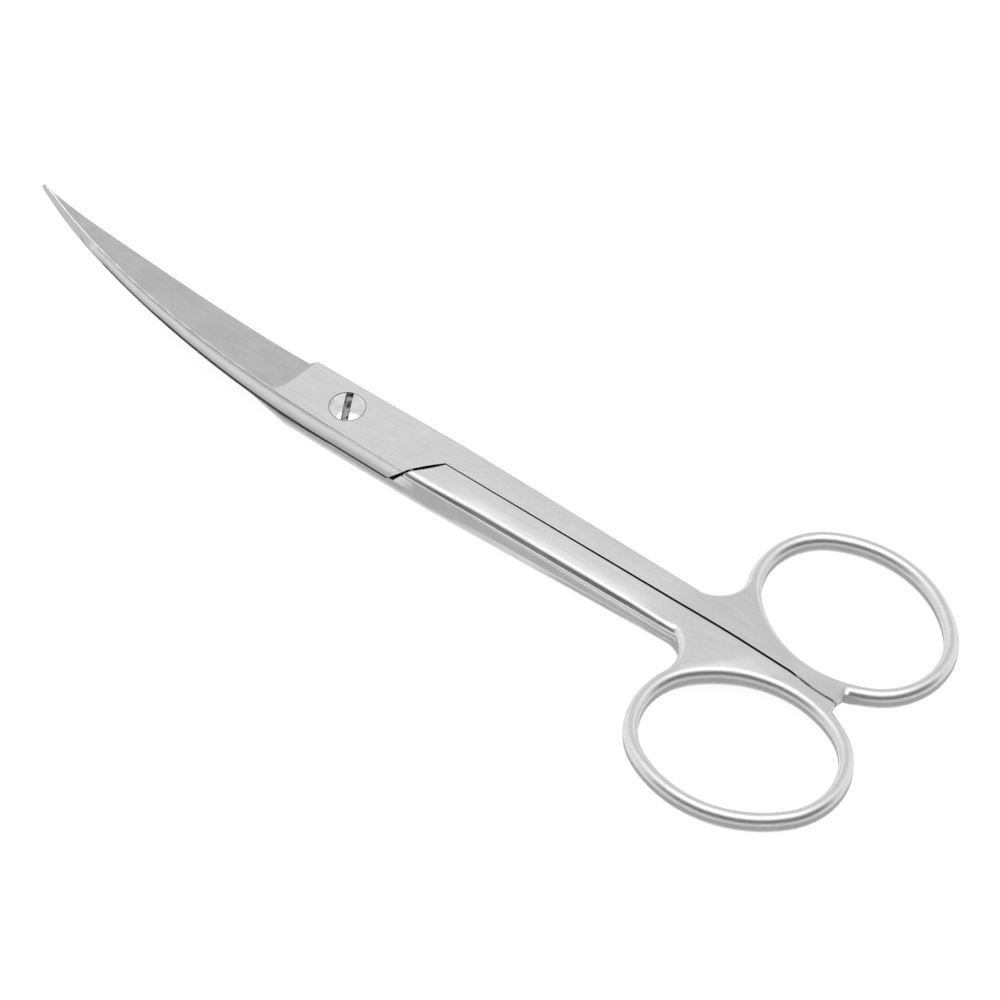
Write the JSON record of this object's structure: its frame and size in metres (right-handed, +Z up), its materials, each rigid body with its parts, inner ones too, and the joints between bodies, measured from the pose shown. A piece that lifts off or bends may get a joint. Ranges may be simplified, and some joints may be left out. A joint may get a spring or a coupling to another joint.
{
  "type": "surgical dressing scissors",
  "caption": "Dressing scissors with upward curved, hollow ground blades, a slotted pivot screw, flat shanks and two oval finger rings.",
  "frame": {"origin": "on the pivot axis, at the underside of the joint, where the closed scissors lie on a table", "axes": "+X from the pivot towards the finger rings, +Y towards the ring of the upper half, +Z up along the pivot axis; the blades point to -X and their tips curve up"},
  "size_m": [0.1404, 0.05, 0.0156],
  "materials": {
    "upper_half": "satin ground, with polished ring rims",
    "lower_half": "satin ground, with polished ring rims",
    "pivot_screw": "polished"
  },
  "bodies": {
    "lower": {"lower_half": "lower_half", "pivot_screw": "pivot_screw"},
    "upper": {"upper_half": "upper_half"}
  },
  "joints": [
    {"name": "pivot", "type": "hinge", "parent": "lower", "child": "upper", "pos_m": [0, 0, 0.00295], "axis": [0, 0, 1], "range_deg": [0, 110]}
  ]
}
